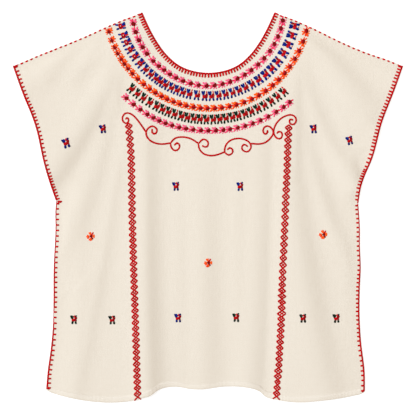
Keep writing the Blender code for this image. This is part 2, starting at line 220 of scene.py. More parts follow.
# A fold runs from start through middle to end. The cloth stands up on one side of it and sinks on the
# other: steep is its slope across the fold at those three places, above 0 where it falls to the
# right. right and left are the fold's half-widths, and spread is how many times wider it is at its
# end. Places and widths are in millimetres.
Fold = namedtuple("Fold", "start middle end steep right left spread")
FOLDS = [Fold(*row) for row in (
    ((-161, 198), (-202, 111), (-252, 35), (0.14, 0.34, 0.25), 9, 12, 1.7),  # left armhole
    ((-159, 136), (-186, 28), (-226, -68), (0.17, 0.19, 0.13), 11, 13, 1.6),  # left breast
    ((-145, 56), (-175, -127), (-209, -301), (0.13, 0.15, 0.10), 13, 7, 1.1),  # left skirt
    ((-222, 255), (-245, 228), (-265, 198), (0.17, 0.20, 0.09), 12, 15, 1.2),  # left sleeve
    ((-178, 267), (-190, 242), (-206, 218), (0.08, 0.11, 0.14), 13, 13, 1.0),  # left shoulder
    ((-142, 221), (-145, 185), (-146, 147), (0.01, 0.19, -0.01), 8, 9, 1.3),  # left collar
    ((-93, 115), (-92, -86), (-86, -308), (0.19, 0.39, 0.46), 20, 10, 1.4),  # centre left
    ((5, 70), (7, -102), (10, -300), (0.03, 0.24, 0.27), 20, 21, 1.4),  # centre
    ((100, 104), (95, -86), (87, -303), (0.14, 0.25, 0.29), 7, 19, 1.3),  # centre right
    ((173, 281), (219, 236), (275, 177), (0.21, 0.38, 0.21), 14, 13, 1.4),  # right sleeve
    ((161, 244), (187, 151), (250, 41), (0.07, 0.24, 0.30), 13, 12, 1.0),  # right armhole
    ((146, 182), (162, -36), (213, -299), (0.12, 0.27, 0.22), 14, 14, 1.7),  # right skirt
    ((164, 128), (201, 1), (240, -87), (0.12, 0.31, 0.04), 13, 9, 1.5),  # right waist
    ((148, 210), (150, 136), (148, 53), (0.10, 0.12, 0.07), 8, 7, 0.9),  # right collar
    ((237, 93), (247, 64), (254, 27), (0.08, 0.34, 0.06), 11, 11, 0.7),  # right cuff
    ((-296, 184), (-274, 128), (-261, 70), (0.10, 0.00, -0.03), 16, 16, 1.1),  # left cuff
    # Small creases.
    ((-233, -24), (-218, -9), (-200, 2), (-0.01, -0.03, 0.01), 6, 6, 1.0),  # left waist
    ((-240, -89), (-216, -67), (-190, -47), (0.00, 0.01, 0.03), 6, 6, 1.0),  # left side
    ((-235, -145), (-207, -120), (-185, -89), (-0.09, 0.07, 0.01), 7, 7, 1.0),  # left, low
    ((-177, 217), (-204, 177), (-232, 140), (-0.07, -0.05, -0.02), 7, 6, 0.9),  # left sleeve
    ((200, 201), (237, 164), (277, 134), (-0.05, -0.07, 0.19), 8, 8, 1.2),  # right sleeve
    ((213, 147), (236, 114), (263, 91), (-0.06, 0.01, -0.05), 8, 8, 0.9),  # right, low
    ((-45, 61), (-43, -86), (-40, -283), (-0.02, 0.14, 0.11), 12, 12, 1.3),  # mid left
    ((53, 62), (52, -103), (46, -283), (0.04, 0.10, -0.03), 11, 11, 1.2),  # mid right
)]
FOLD_FADE = 0.024  # a fold dies away over this length past its ends
FOLD_RETURN = 3  # and comes back to level over this many times its half-width


def in_turn(*lines, turns):
    """Several lines as one. turns are the shares at which one line gives way to the next."""
    stops = np.array([0, *turns, 1])

    def at(share):
        share = np.asarray(share, float)
        which = np.clip(np.searchsorted(stops, share, side="right") - 1, 0, len(lines) - 1)
        part = (share - stops[which]) / (stops[which + 1] - stops[which])
        read = np.stack([line.at(part) for line in lines])
        return np.take_along_axis(read, which[None, ..., None], axis=0)[0]

    return at


def backwards(rows):
    return list(reversed(rows))


def distance_to(points, lines):
    """For each point: its distance to the nearest of some lines."""
    best = np.full(len(points), np.inf)
    for line in lines:
        for start, way in zip(line.points, np.diff(line.points, axis=0)):
            off = points - start
            t = np.clip(off @ way / (way @ way), 0, 1)
            best = np.minimum(best, np.linalg.norm(off - t[:, None] * way, axis=1))
    return best


def ease(x):
    x = np.clip(x, 0, 1)
    return x * x * (3 - 2 * x)


neck_rows = from_mm(*((NECK_CENTRE - half, NECK_TOP - drop) for half, drop in NECK))
neck_rows += from_mm(*((NECK_CENTRE + half, NECK_TOP - drop) for half, drop in backwards(NECK[:-1])))
neck_line = Line(neck_rows)
left_yoke = Line([LEFT_SHOULDER[0], neck_rows[0]])
right_yoke = Line([neck_rows[-1], RIGHT_SHOULDER[0]])
left_shoulder, right_shoulder = Line(LEFT_SHOULDER), Line(RIGHT_SHOULDER)
left_seams = [left_shoulder, left_side, left_yoke]
right_seams = [right_shoulder, right_side, right_yoke]


def beside(points, line):
    """For each point: how far it is to the right of a line going down, along it, and past its ends."""
    ways = np.diff(line, axis=0)
    best, side, along, past = (np.full(len(points), fill) for fill in (np.inf, 0.0, 0.0, 0.0))
    for k, (start, way) in enumerate(zip(line, ways)):
        length = np.linalg.norm(way)
        off = points - start
        free = off @ way / length**2
        t = np.clip(free, 0, 1)
        gap = np.linalg.norm(off - t[:, None] * way, axis=1)
        across = (way[0] * off[:, 1] - way[1] * off[:, 0]) / length
        over = np.zeros(len(points))
        if k == 0:
            over = np.maximum(over, -free * length)
        if k == len(ways) - 1:
            over = np.maximum(over, (free - 1) * length)
        across = np.where(over == 0, np.sign(across) * gap, across)
        nearer = gap < best
        for kept, new in ((best, gap), (side, across), (along, (k + t) / len(ways)), (past, over)):
            kept[nearer] = new[nearer]
    return side, along, past


def fold_height(points, fold):
    """How far one fold lifts or sinks the front at each point."""
    start, middle, end = np.array([fold.start, fold.middle, fold.end]) * MM
    bend = 2 * middle - (start + end) / 2
    t = np.linspace(0, 1, FOLD_STEPS + 1)[:, None]
    side, along, past = beside(points, (1 - t) ** 2 * start + 2 * t * (1 - t) * bend + t**2 * end)
    first, most, last = fold.steep
    steep = first * (1 - along) * (1 - 2 * along) + 4 * most * along * (1 - along)
    steep += last * along * (2 * along - 1)
    width = np.where(side > 0, fold.right, fold.left) * MM * (1 + (fold.spread - 1) * along)
    fall = width * (np.tanh(side / width) - np.tanh(side / width / FOLD_RETURN))
    return -steep * fall * np.exp(-((past / FOLD_FADE) ** 2))


def waves(run, puckers):
    """Uneven waves along a seam, from -1 to 1."""
    sway = puckers.sway * np.sin(run * puckers.sways)
    return np.sin(run * math.tau / puckers.pitch + sway) * (1 - SWELL + SWELL * np.sin(run * puckers.swells))


def front_top(points):
    """Height of the front's upper face at each point, without the hem's second layer."""
    from_left, from_right = distance_to(points, left_seams), distance_to(points, right_seams)
    height = COLLAR_PUFF + (PUFF - COLLAR_PUFF) * ease(distance_to(points, [neck_line]) / COLLAR_REACH)
    height *= ease(from_left / LEFT_REACH) * ease(from_right / RIGHT_REACH)
    folded = sum(fold_height(points, fold) for fold in FOLDS)
    height += folded * ease(from_left / FOLD_REACH) * ease(from_right / FOLD_REACH)
    # The edge stitches draw the cloth into short slanted puckers.
    drawn = SIDE_PUCKERS.height * waves(points[:, 1] + SIDE_SLANT * np.abs(points[:, 0]), SIDE_PUCKERS)
    for gap in (from_left, from_right):
        height += drawn * ease(gap / SEAM_HOLD) * np.exp(-gap / SIDE_PUCKERS.reach)
    # It never sinks into the back, and settles softly where it meets it.
    height = (height + np.sqrt(height**2 + SETTLE**2)) / 2
    return BACK_TOP + LAYER_GAP + CLOTH + height


def patch(left, right, top, bottom, columns, rows):
    """A grid of points between four edges, each read by its share. rows is an array of shares."""
    u, v = np.linspace(0, 1, columns + 1)[None, :, None], rows[:, None, None]
    across = (1 - v) * top(u[0, :, 0]) + v * bottom(u[0, :, 0])
    down = (1 - u) * left(rows)[:, None] + u * right(rows)[:, None]
    upper = (1 - u) * left(0.0) + u * right(0.0)
    lower = (1 - u) * left(1.0) + u * right(1.0)
    return across + down - (1 - v) * upper - v * lower


def new_piece(name, points, faces, finish, map_name, places, value_name, values):
    """A piece with a map for its weave or floss, and one value at each of its points."""
    mesh = bpy.data.meshes.new(name)
    mesh.from_pydata(points.reshape(-1, 3).tolist(), [], faces)
    loops = np.empty(len(mesh.loops), np.int32)
    mesh.loops.foreach_get("vertex_index", loops)
    mesh.uv_layers.new(name=map_name).data.foreach_set("uv", places[loops].ravel())
    mesh.attributes.new(value_name, "FLOAT", "POINT").data.foreach_set("value", values)
    mesh.shade_smooth()
    mesh.materials.append(finish)
    piece = bpy.data.objects.new(name, mesh)
    bpy.context.scene.collection.objects.link(piece)
    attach(piece, "root")
    return piece


EDGE_ANGLE = 50  # degrees: the cut edges of the cloth are shaded crisp


def cloth_piece(name, plan, height, finish, turned_hem_and_edge_shade):
    """A sheet of cloth over a grid of places, with their heights at its upper face.

    The last argument is 1 on the rows where the cloth is turned under, below 0 along its edge, where it
    paints shade into the cotton's colour, and 0 elsewhere.
    """
    rows, columns = plan.shape[:2]
    points = np.concatenate([plan, height[..., None]], axis=-1)
    corner = np.arange(rows * columns).reshape(rows, columns)
    quads = np.stack([corner[:-1, :-1], corner[1:, :-1], corner[1:, 1:], corner[:-1, 1:]], axis=-1)
    faces, places, values = quads.reshape(-1, 4).tolist(), plan.reshape(-1, 2), np.repeat(turned_hem_and_edge_shade, columns)
    piece = new_piece(name, points, faces, finish, "cut", places, "turned_hem_and_edge_shade", values)
    wall = piece.modifiers.new("cloth", "SOLIDIFY")
    wall.thickness = CLOTH
    wall.offset = -1
    bpy.ops.object.select_all(action="DESELECT")
    bpy.context.view_layer.objects.active = piece
    piece.select_set(True)
    bpy.ops.object.modifier_apply(modifier="cloth")
    piece.data.set_sharp_from_angle(angle=math.radians(EDGE_ANGLE))
    return piece


class Wire:
    """A value on its way through a material: the socket that gives it, with sums as operators."""

    def __init__(self, finish, socket):
        self.finish, self.socket = finish, socket

    def sum(self, operation, *values):
        return self.finish.node("ShaderNodeMath", {"operation": operation}, dict(enumerate(values)))

    def __add__(self, other):
        return self.sum("ADD", self, other)

    def __sub__(self, other):
        return self.sum("SUBTRACT", self, other)

    def __rsub__(self, other):
        return self.sum("SUBTRACT", other, self)

    def __mul__(self, other):
        return self.sum("MULTIPLY", self, other)

    def __truediv__(self, other):
        return self.sum("DIVIDE", self, other)

    __radd__, __rmul__ = __add__, __mul__


class Finish:
    """A material while it is made. constants go straight onto the Principled BSDF's sockets."""

    def __init__(self, name, constants):
        self.material = bpy.data.materials.new(name)
        self.material.use_nodes = True
        self.tree = self.material.node_tree
        self.shader = self.tree.nodes["Principled BSDF"]
        for socket, value in constants.items():
            self.shader.inputs[socket].default_value = value

    def node(self, kind, settings, values, output=0):
        made = self.tree.nodes.new(kind)
        for name, value in settings.items():
            setattr(made, name, value)
        for name, value in values.items():
            if isinstance(value, Wire):
                self.tree.links.new(value.socket, made.inputs[name])
            else:
                made.inputs[name].default_value = value
        return Wire(self, made.outputs[output])

    def mix(self, share, first, second):
        return self.node("ShaderNodeMix", {"data_type": "RGBA"}, {0: share, 6: first, 7: second}, 2)

    def attribute(self, name):
        return self.node("ShaderNodeAttribute", {"attribute_name": name}, {}, 2)

    def places(self, name):
        """The piece's own map, and its two directions."""
        place = self.node("ShaderNodeUVMap", {"uv_map": name}, {})
        return place, *(self.node("ShaderNodeSeparateXYZ", {}, {0: place}, k) for k in (0, 1))

    def noise(self, vector, scale, detail=2.0):
        return self.node("ShaderNodeTexNoise", {}, {"Vector": vector, "Scale": scale, "Detail": detail})

    def feed(self, socket, wire):
        self.tree.links.new(wire.socket, self.shader.inputs[socket])

    def bump(self, strength, distance, height):
        values = {"Strength": strength, "Distance": distance, "Height": height}
        self.feed("Normal", self.node("ShaderNodeBump", {}, values))


YARN_PITCH = 0.0008
# How close the slubs, the clouds of tone and the small soft crumples lie, per metre.
WARP_SLUBS, WEFT_SLUBS, CLOUDS, CRUMPLES = (520, 26), (30, 430), 22.0, 130.0
YARN_RELIEF, SLUB_RELIEF, CRUMPLE_RELIEF = 0.25, 1.1, 1.6
COTTON, COTTON_DARK = (0.659, 0.590, 0.502, 1), (0.620, 0.547, 0.454, 1)
COTTON_LIGHT = (0.698, 0.634, 0.555, 1)

cotton = Finish(
    "unbleached_cotton",
    {"Roughness": 0.92, "Specular IOR Level": 0.25, "Sheen Weight": 0.12, "Sheen Roughness": 0.5},
)
cut, across, along = cotton.places("cut")
warp = across.sum("SINE", across * (math.tau / YARN_PITCH))
weft = along.sum("SINE", along * (math.tau / YARN_PITCH))
yarns = warp * weft
warp_slubs, weft_slubs = (
    cotton.noise(cotton.node("ShaderNodeCombineXYZ", {}, {0: across * wide, 1: along * high}), 1.0)
    for wide, high in (WARP_SLUBS, WEFT_SLUBS)
)
cloudy = cotton.noise(cut, CLOUDS, 3.0)
slubs = (warp_slubs + weft_slubs) / 2
toned = cotton.mix(cloudy, cotton.mix(slubs, COTTON_DARK, COTTON_LIGHT), COTTON)
turned_hem_and_edge_shade = cotton.attribute("turned_hem_and_edge_shade")
# The turned hem is lighter, and its edge, where the turned-hem attribute falls below 0, is a little darker:
# painted shade where the rounded edge turns away from the light.
edge_shade = 0 - turned_hem_and_edge_shade
hemmed = cotton.mix(turned_hem_and_edge_shade * 0.5, toned, COTTON_LIGHT)
cotton.feed("Base Color", cotton.mix(edge_shade, hemmed, COTTON_DARK))
crumple = cotton.noise(cut, CRUMPLES, 3.0)
relief = yarns * YARN_RELIEF + slubs * SLUB_RELIEF + crumple * CRUMPLE_RELIEF
cotton.bump(0.5, 0.0005, relief)

join_length = left_join.length
hem_share = 1 - HEM_DEPTH / join_length
HEM_TONES_AND_EDGE_SHADE = [0.0, 0.0007, 0.0035], [-1.0, -0.8, 1.0]  # places up from the edge, and the tone at each: below 0 it is painted shade along the edge, above 0 the lighter turned hem
hem_rows = np.array([HEM_DEPTH, 0.0065, 0.0040, 0.0020, HEM_ROLL, 0.0004, 0.0002, 0.0])  # up from the edge
plain_rows = np.arange(ROWS + 1) / ROWS * (hem_share - HEM_STEP / join_length)
row_shares = np.concatenate([plain_rows, 1 - hem_rows / join_length])
from_edge = (1 - row_shares) * join_length
turned_under = np.where(row_shares >= hem_share, 1.0, 0.0)
hem_tone_and_edge_shade = np.where(turned_under > 0, np.interp(from_edge, *HEM_TONES_AND_EDGE_SHADE), 0.0)
# The turned edge is round, and the stitches of the hem draw it into small upright puckers.
roll = np.clip(1 - from_edge / HEM_ROLL, 0, 1)
hem_height = (HEM_STEP * turned_under - HEM_ROLL / 2 * (1 - np.sqrt(1 - roll**2)))[:, None]
gathered = np.exp(-np.maximum(from_edge - HEM_DEPTH, 0) / HEM_PUCKERS.reach)[:, None]
yoke = YOKE_COLUMNS / CENTRE_COLUMNS
left_top, right_top = Line(backwards(LEFT_SHOULDER)).at, right_shoulder.at
centre_top = in_turn(left_yoke, neck_line, right_yoke, turns=[yoke, 1 - yoke])


def side_edges(underarm):
    """The outer edges of the side webs. underarm is the share of the way down where the cuff ends."""
    return in_turn(left_cuff, left_side, turns=[underarm]), in_turn(right_cuff, right_side, turns=[underarm])


def lay_web(name):
    """Hides a web's plain solid, in whose place its cloth lies. Its flat size takes in the turned hem."""
    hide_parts(name + "_web")


def front_web(name, left, right, top, bottom, columns):
    plan = patch(left, right, top, bottom, columns, row_shares)
    drawn = HEM_PUCKERS.height * gathered * waves(plan[..., 0], HEM_PUCKERS)
    height = front_top(plan.reshape(-1, 2)).reshape(plan.shape[:2]) + hem_height + drawn
    piece = cloth_piece(name + "_cloth", plan, height, cotton.material, hem_tone_and_edge_shade)
    lay_web(name)
    return piece


left_edge, right_edge = side_edges(row_shares[UNDERARM_ROW])
fronts = [
    front_web("front_left", left_edge, left_join.at, left_top, left_hem.at, SIDE_COLUMNS),
    front_web(
        "front_centre", left_join.at, right_join.at, centre_top, centre_hem.at, CENTRE_COLUMNS
    ),
    front_web("front_right", right_join.at, right_edge, right_top, right_hem.at, SIDE_COLUMNS),
]

# ---- Back webs
# The same three lengths of cotton behind, plain and lying flat on the floor. Their hems stop just
# short of the front's, so that the back doesn't show.
BACK_SIDE_COLUMNS, BACK_CENTRE_COLUMNS, BACK_ROWS, BACK_UNDERARM_ROW = 24, 40, 72, 30
BACK_INSET, BACK_WAY_STEP = 0.0015, 0.004


def drawn_in(hem):
    """The line of a hem, moved up by the back's inset."""

    def at(share):
        way = hem.at(np.minimum(share + BACK_WAY_STEP, 1)) - hem.at(np.maximum(share - BACK_WAY_STEP, 0))
        way = way / np.linalg.norm(way, axis=-1, keepdims=True)
        return hem.at(share) - BACK_INSET * np.stack([way[..., 1], -way[..., 0]], axis=-1)

    return at


def back_web(name, left, right, top, hem, columns):
    plan = patch(left, right, top, drawn_in(hem), columns, np.linspace(0, 1, BACK_ROWS + 1))
    flat = np.full(plan.shape[:2], BACK_TOP)
    piece = cloth_piece(name + "_cloth", plan, flat, cotton.material, np.zeros(len(plan)))
    lay_web(name)


left_edge, right_edge = side_edges(BACK_UNDERARM_ROW / BACK_ROWS)
back_web("back_left", left_edge, left_join.at, left_top, left_hem, BACK_SIDE_COLUMNS)
back_web("back_centre", left_join.at, right_join.at, centre_top, centre_hem, BACK_CENTRE_COLUMNS)
back_web("back_right", right_join.at, right_edge, right_top, right_hem, BACK_SIDE_COLUMNS)

# ---- Neck edge
# Close blanket stitch in thick red cotton floss: short stitches that run in from the edge, and one
# along the edge between each two of them.
FLOSS_HEIGHT, FLOSS_ARCH = 0.13, 0.04  # a stitch's height, and how far its middle arches up, over its width
ROUND_END, MOST_ROUND = 0.16, 0.2  # its round ends, in widths, and the most of its length that each takes
SUNK = 0.00003  # it sinks this far into the cloth
BEAD_SIDES, BEAD_RINGS, BEAD_AXIS = 6, 5, 0.01
BEAD_FULLNESS, BEAD_UNDERSIDE = 0.7, 0.4
MIDDLE_STATIONS = 0.35, 0.65  # shares of its length between its round ends
LOW_EDGE = 0.003  # where a stitch passes off the cloth, it lies on the edge nearest to this height
Stitch = namedtuple("Stitch", "start end width tone")
chance = np.random.default_rng(11)

# One stitch: a plump bead of floss along Z, 2 wide and high, full nearly to its ends and flat below.
bpy.ops.object.select_all(action="DESELECT")
bpy.ops.mesh.primitive_uv_sphere_add(segments=BEAD_SIDES, ring_count=BEAD_RINGS, radius=1)
bead = bpy.context.object
BEAD_POINTS = np.array([vertex.co for vertex in bead.data.vertices])
BEAD_FACES = [list(face.vertices) for face in bead.data.polygons]
bpy.data.objects.remove(bead)
BEAD_STATION = np.unique(np.round(BEAD_POINTS[:, 2], 3), return_inverse=True)[1]
bead_round = np.linalg.norm(BEAD_POINTS[:, :2], axis=1)
fuller = np.where(bead_round > BEAD_AXIS, np.maximum(bead_round, BEAD_AXIS) ** -BEAD_FULLNESS, 0)
BEAD_ACROSS, BEAD_UP = BEAD_POINTS[:, 0] * fuller, BEAD_POINTS[:, 1] * fuller
BEAD_UP = np.where(BEAD_UP < 0, BEAD_UP * BEAD_UNDERSIDE, BEAD_UP)

joined = bmesh.new()
for front in fronts:
    joined.from_mesh(front.data)
cloth_surface = BVHTree.FromBMesh(joined)
joined.free()


def on_cloth(x, y):
    """Height of the front's upper face, or of its nearest edge."""
    hit = cloth_surface.ray_cast(Vector((x, y, 1)), Vector((0, 0, -1)))[0]
    if hit is None:
        hit = cloth_surface.find_nearest(Vector((x, y, LOW_EDGE)))[0]
    return hit.z


def sew(name, stitches, colour="red"):
    """Lays stitches on the cloth as one piece of plump floss."""
    finish, slot = flosses[colour]
    start, end, width, tone = (np.array(column) for column in zip(*stitches))
    way = end - start
    length = np.linalg.norm(way, axis=1)
    side = np.stack([-way[:, 1], way[:, 0]], axis=1) / length[:, None]
    cap = np.minimum(ROUND_END * width / length, MOST_ROUND)
    stations = np.stack(np.broadcast_arrays(0.0, cap, *MIDDLE_STATIONS, 1 - cap, 1.0), axis=1)
    middle = start[:, None] + stations[..., None] * way[:, None]
    ground = np.array([[on_cloth(x, y) for x, y in row] for row in middle])
    along = stations[:, BEAD_STATION]
    plan = middle[:, BEAD_STATION] + side[:, None] * (BEAD_ACROSS * width[:, None] / 2)[..., None]
    arch = 4 * along * (1 - along) * FLOSS_ARCH
    height = ground[:, BEAD_STATION] + (BEAD_UP * FLOSS_HEIGHT + arch) * width[:, None] - SUNK
    points = np.concatenate([plan, height[..., None]], axis=-1)
    count = len(BEAD_STATION)
    faces = [[k * count + corner for corner in face] for k in range(len(stitches)) for face in BEAD_FACES]
    along_floss = (along * length[:, None]).ravel()
    round_floss = np.tile(BEAD_ACROSS, len(stitches)) * np.repeat(width / 2, count)
    places = np.stack([along_floss, round_floss], axis=1)
    piece = new_piece(name, points, faces, finish, "ply", places, "tone", np.repeat(tone, count))
    return piece


PLY_PITCH, PLY_SLANT, PLY_GROOVE_SHADE = 0.0005, 0.5, 0.06
flosses = {}


def floss(colour, name, slot, dark, light):
    """Six-strand cotton floss: a soft sheen, and fine plies that run at a slant along each stitch. The twist
    of the plies also paints shade into the colour: lighter on their crests, darker in the grooves.
    """
    made = Finish(name, {"Roughness": 0.6, "Specular IOR Level": 0.08})
    tone = made.attribute("tone")
    run, turn = made.places("ply")[1:]
    twist = run.sum("SINE", (run * PLY_SLANT + turn) * (math.tau / PLY_PITCH))
    # painted shade: the floss's colour darkens in the grooves between plies and lightens on their crests
    made.feed("Base Color", made.mix(tone + twist * PLY_GROOVE_SHADE, dark, light))
    made.bump(0.6, 0.0001, twist)
    flosses[colour] = (made.material, slot)


def near(value, spread):
    """A value as a worker's hand gives it, never quite the same."""
    return value + spread * (chance.random() * 2 - 1)


TONE_SPREAD = 0.18


def tone_near(value):
    return float(np.clip(near(value, TONE_SPREAD), 0, 1))


floss("red", "red_floss", "red_thread", (0.280, 0.0003, 0.001, 1), (0.580, 0.0008, 0.003, 1))
TOOTH_START, FIRST_TOOTH = 0.0002, 0.4  # in from the edge, and along it in pitches
SPINE_IN, SPINE_LAP = 0.34, 0.3  # how far in a stitch along the edge lies, and laps the next, in widths
TOOTH_TONE, SPINE_TONE = 0.7, 0.45
STRAY, LEAN, PITCH_STRAY = 0.0004, 0.0005, 0.0002  # how far a stitch's length, lean and pitch stray

# along is the share of the edge's length. The other columns are in millimetres: from one tooth to the
# next, a tooth's length, and the width of the floss along the edge.
Pace = namedtuple("Pace", "along pitch tooth spine")
NECK_FLOSS = 0.0037
NECK_PACES = [Pace(0.0, 4.3, 8.8, 3.7), Pace(0.5, 4.6, 8.2, 3.7), Pace(1.0, 4.9, 8.2, 3.7)]


def blanket_stitch(line, inside, paces, width):
    """Stitches in from a line's edge, and one along it between each two. inside is +1 or -1."""
    alongs, *columns = zip(*paces)
    made = []
    share = FIRST_TOOTH * paces[0].pitch * MM / line.length
    last = line.at(0.0)
    while share < 1:
        pitch, tooth, spine = (float(np.interp(share, alongs, column)) * MM for column in columns)
        place, way = line.at(share), line.way(share)
        inward = inside * np.array([-way[1], way[0]])
        tip = place + inward * near(tooth, STRAY) + way * near(0, LEAN)
        made.append(Stitch(place + inward * TOOTH_START, tip, width, tone_near(TOOTH_TONE)))
        edge, lap = inward * spine * SPINE_IN, way * spine * SPINE_LAP
        made.append(Stitch(last + edge - lap, place + edge + lap, spine, tone_near(SPINE_TONE)))
        last = place
        share += near(pitch, PITCH_STRAY) / line.length
    made.append(Stitch(last + edge - lap, line.at(1.0) + edge - lap, spine, tone_near(SPINE_TONE)))
    return made


sew("neck_blanket_stitch", blanket_stitch(neck_line, -1, NECK_PACES, NECK_FLOSS))

# ---- Cuffs, side seams and shoulders
# The same floss in blanket stitch round the cuffs and down the side seams, where it holds front and
# back together. It is knotted at the left underarm and turned round the corners. Small red running
# stitches lie on the very edge of each shoulder.
EDGE_FLOSS = 0.0034
LEFT_CUFF_PACES = [
    Pace(0.00, 7.3, 7.6, 3.7), Pace(0.22, 6.4, 7.6, 3.7), Pace(0.33, 5.2, 7.4, 3.7),
    Pace(0.48, 6.4, 7.2, 3.7), Pace(0.62, 7.0, 7.2, 3.7), Pace(0.72, 7.9, 7.4, 3.7),
    Pace(0.77, 6.6, 7.4, 3.7), Pace(0.80, 4.6, 7.4, 3.7), Pace(0.92, 4.8, 7.2, 3.7),
    Pace(1.00, 5.6, 7.0, 3.7),
]
RIGHT_CUFF_PACES = [
    Pace(0.00, 4.9, 8.0, 3.5), Pace(0.08, 5.6, 8.2, 3.5), Pace(0.56, 5.6, 8.2, 3.5),
    Pace(0.64, 7.6, 8.0, 3.5), Pace(0.71, 7.2, 7.6, 3.5), Pace(0.76, 3.8, 7.0, 3.5),
    Pace(0.81, 4.0, 7.0, 3.5), Pace(0.86, 5.8, 7.4, 3.5), Pace(1.00, 7.0, 6.4, 2.6),
]
LEFT_SIDE_PACES = [
    Pace(0.00, 8.9, 6.2, 2.0), Pace(0.30, 8.8, 6.2, 2.0), Pace(0.36, 8.0, 6.4, 2.6),
    Pace(0.57, 8.2, 6.4, 2.6), Pace(0.61, 9.3, 5.8, 1.0), Pace(0.68, 9.2, 6.0, 2.6),
    Pace(0.76, 8.2, 6.8, 3.2), Pace(1.00, 7.3, 7.4, 3.5),
]
RIGHT_SIDE_PACES = [
    Pace(0.00, 6.8, 5.6, 2.0), Pace(0.12, 7.6, 5.6, 2.0), Pace(0.34, 8.0, 5.6, 2.3),
    Pace(0.38, 6.6, 6.0, 3.0), Pace(0.70, 6.9, 6.2, 3.2), Pace(0.76, 8.3, 6.6, 3.4),
    Pace(1.00, 8.3, 6.4, 3.4),
]
for name, line, inside, paces in (
    ("left_cuff", left_cuff, 1, LEFT_CUFF_PACES),
    ("right_cuff", right_cuff, -1, RIGHT_CUFF_PACES),
    ("left_side", left_side, 1, LEFT_SIDE_PACES),
    ("right_side", right_side, -1, RIGHT_SIDE_PACES),
):
    sew(name + "_blanket_stitch", blanket_stitch(line, inside, paces, EDGE_FLOSS))

# Single stitches at the neck's left corner, the shoulders' ends, the left underarm and the hem's
# corners, in millimetres.
Knot = namedtuple("Knot", "x1 y1 x2 y2 width")
KNOT_TONE = 0.5
KNOTS = [
    Knot(-116.6, 316.9, -107.9, 318.4, 1.6), Knot(-318.4, 231.4, -311.0, 234.4, 2.6),
    Knot(317.8, 231.6, 310.6, 234.3, 2.4), Knot(-247.0, 10.2, -239.2, 9.8, 3.2),
    Knot(-246.6, 8.4, -240.2, 8.8, 2.6), Knot(-263.6, -296.4, -260.4, -298.4, 2.6),
    Knot(-261.6, -298.2, -257.4, -295.2, 2.6), Knot(257.2, -299.4, 252.6, -303.4, 2.4),
]
knots = [
    Stitch((k.x1 * MM, k.y1 * MM), (k.x2 * MM, k.y2 * MM), k.width * MM, tone_near(KNOT_TONE)) for k in KNOTS
]
sew("edge_knots", knots)

DASH_PITCH, DASH_LENGTH, DASH_WIDTH, DASH_IN, DASH_TONE = 0.0087, 0.0049, 0.0033, 0.0014, 0.8
DASH_STOP = 0.010  # no dash starts nearer than this to the neck's corner


def running_stitch(line, inside, first):
    """Dashes along an edge. first is how far along it the first one lies."""
    made = []
    for share in np.arange(first, line.length - DASH_STOP, DASH_PITCH) / line.length:
        way = line.way(share)
        inward = inside * np.array([-way[1], way[0]])
        middle = line.at(share) + inward * near(DASH_IN, PITCH_STRAY) + way * near(0, STRAY)
        half = way * near(DASH_LENGTH, STRAY) / 2
        made.append(Stitch(middle - half, middle + half, DASH_WIDTH, tone_near(DASH_TONE)))
    return made


for name, shoulder, corner, inside, first in (
    ("left", LEFT_SHOULDER, neck_rows[0], -1, 0.0150),
    ("right", RIGHT_SHOULDER, neck_rows[-1], 1, 0.0165),
):
    dashes = running_stitch(Line(backwards(shoulder) + [corner]), inside, first)
    sew(name + "_shoulder_running_stitch", dashes)

# ---- Rings of flowers and figures round the neck
# Traditional small repeats in cotton floss, each worked as eleven to fifteen long stitches and set
# in five rings about the neck, their heads towards it.
floss("deep", "deep_red_floss", "red_thread", (0.115, 0.0002, 0.001, 1), (0.265, 0.0005, 0.002, 1))
floss("blue", "blue_floss", "blue_thread", (0.0003, 0.0025, 0.080, 1), (0.001, 0.020, 0.255, 1))
floss("green", "green_floss", "green_thread", (0.0003, 0.006, 0.003, 1), (0.0015, 0.034, 0.016, 1))
floss("pink", "pink_floss", "pink_thread", (0.770, 0.021, 0.090, 1), (0.810, 0.135, 0.248, 1))
floss("orange", "orange_floss", "orange_thread", (0.840, 0.030, 0.001, 1), (0.880, 0.118, 0.009, 1))

# Each row of a chart is one stitch, in millimetres from the motif's middle, with its head at +y. Its
# floss is the motif's own colour, or "heart", that of a flower's middle, or one that is always the same.
Row = namedtuple("Row", "x1 y1 x2 y2 width tone floss", defaults=("own",))
SPREAD = 1.36  # the strands spread this much wider as they lie
MOTIF_LAP = 0.6  # millimetres that a stitch runs on past its charted ends
MOTIF_STRAY, WIDTH_STRAY = 0.3, 0.15  # millimetres by which its ends and its width stray


def charted(*rows):
    return [Row(*row) for row in rows]


